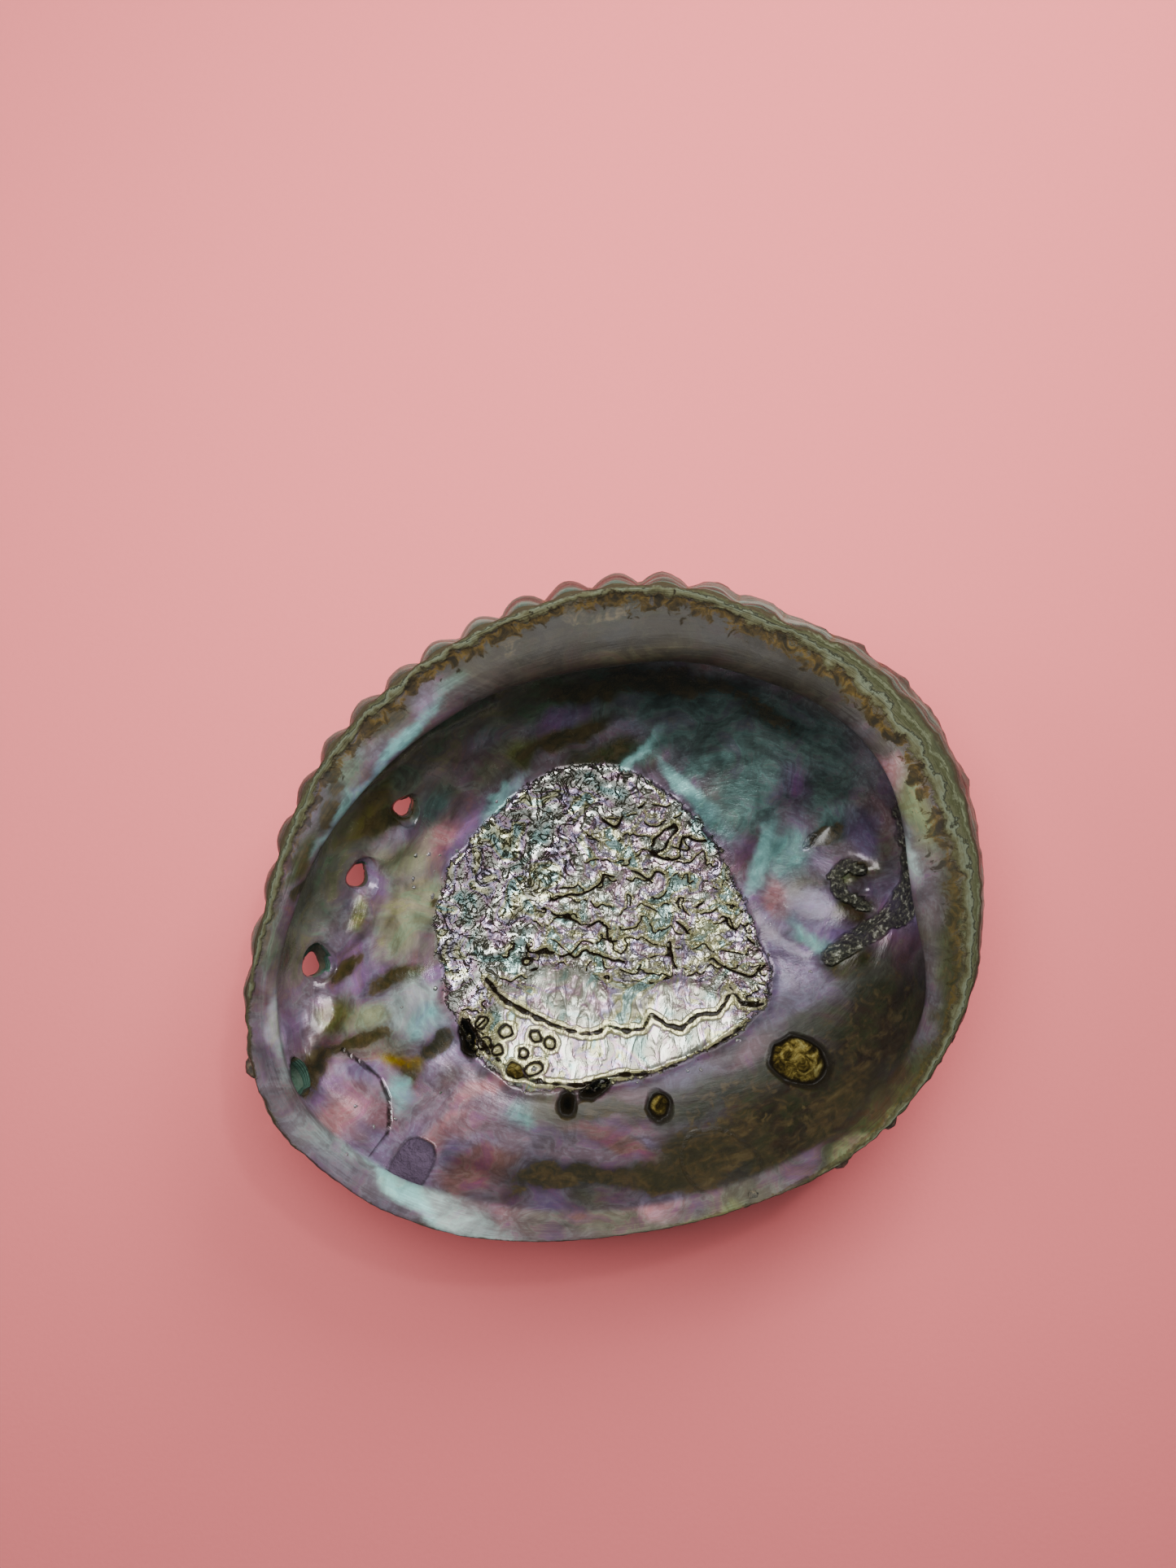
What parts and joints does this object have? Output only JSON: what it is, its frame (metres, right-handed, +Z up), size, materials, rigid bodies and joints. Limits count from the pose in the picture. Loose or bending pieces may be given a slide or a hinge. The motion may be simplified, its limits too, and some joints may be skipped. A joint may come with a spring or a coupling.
{
  "type": "abalone shell",
  "caption": "Deep ear-shaped abalone shell on its back, with a pearly bowl, rolled inner shelf, raised muscle scar, breathing pores, spire dish and a scalloped, corrugated edge.",
  "frame": {"origin": "middle of the worn flat on the shell's back that it rests on", "axes": "+X along the shell's length towards the spire's end, +Y towards the side with the inner shelf, +Z up out of the bowl"},
  "size_m": [0.1644, 0.1485, 0.0527],
  "materials": {
    "shell": "polished nacre inside, worn crust outside"
  },
  "bodies": {
    "root": {"shell": "shell"}
  },
  "joints": []
}
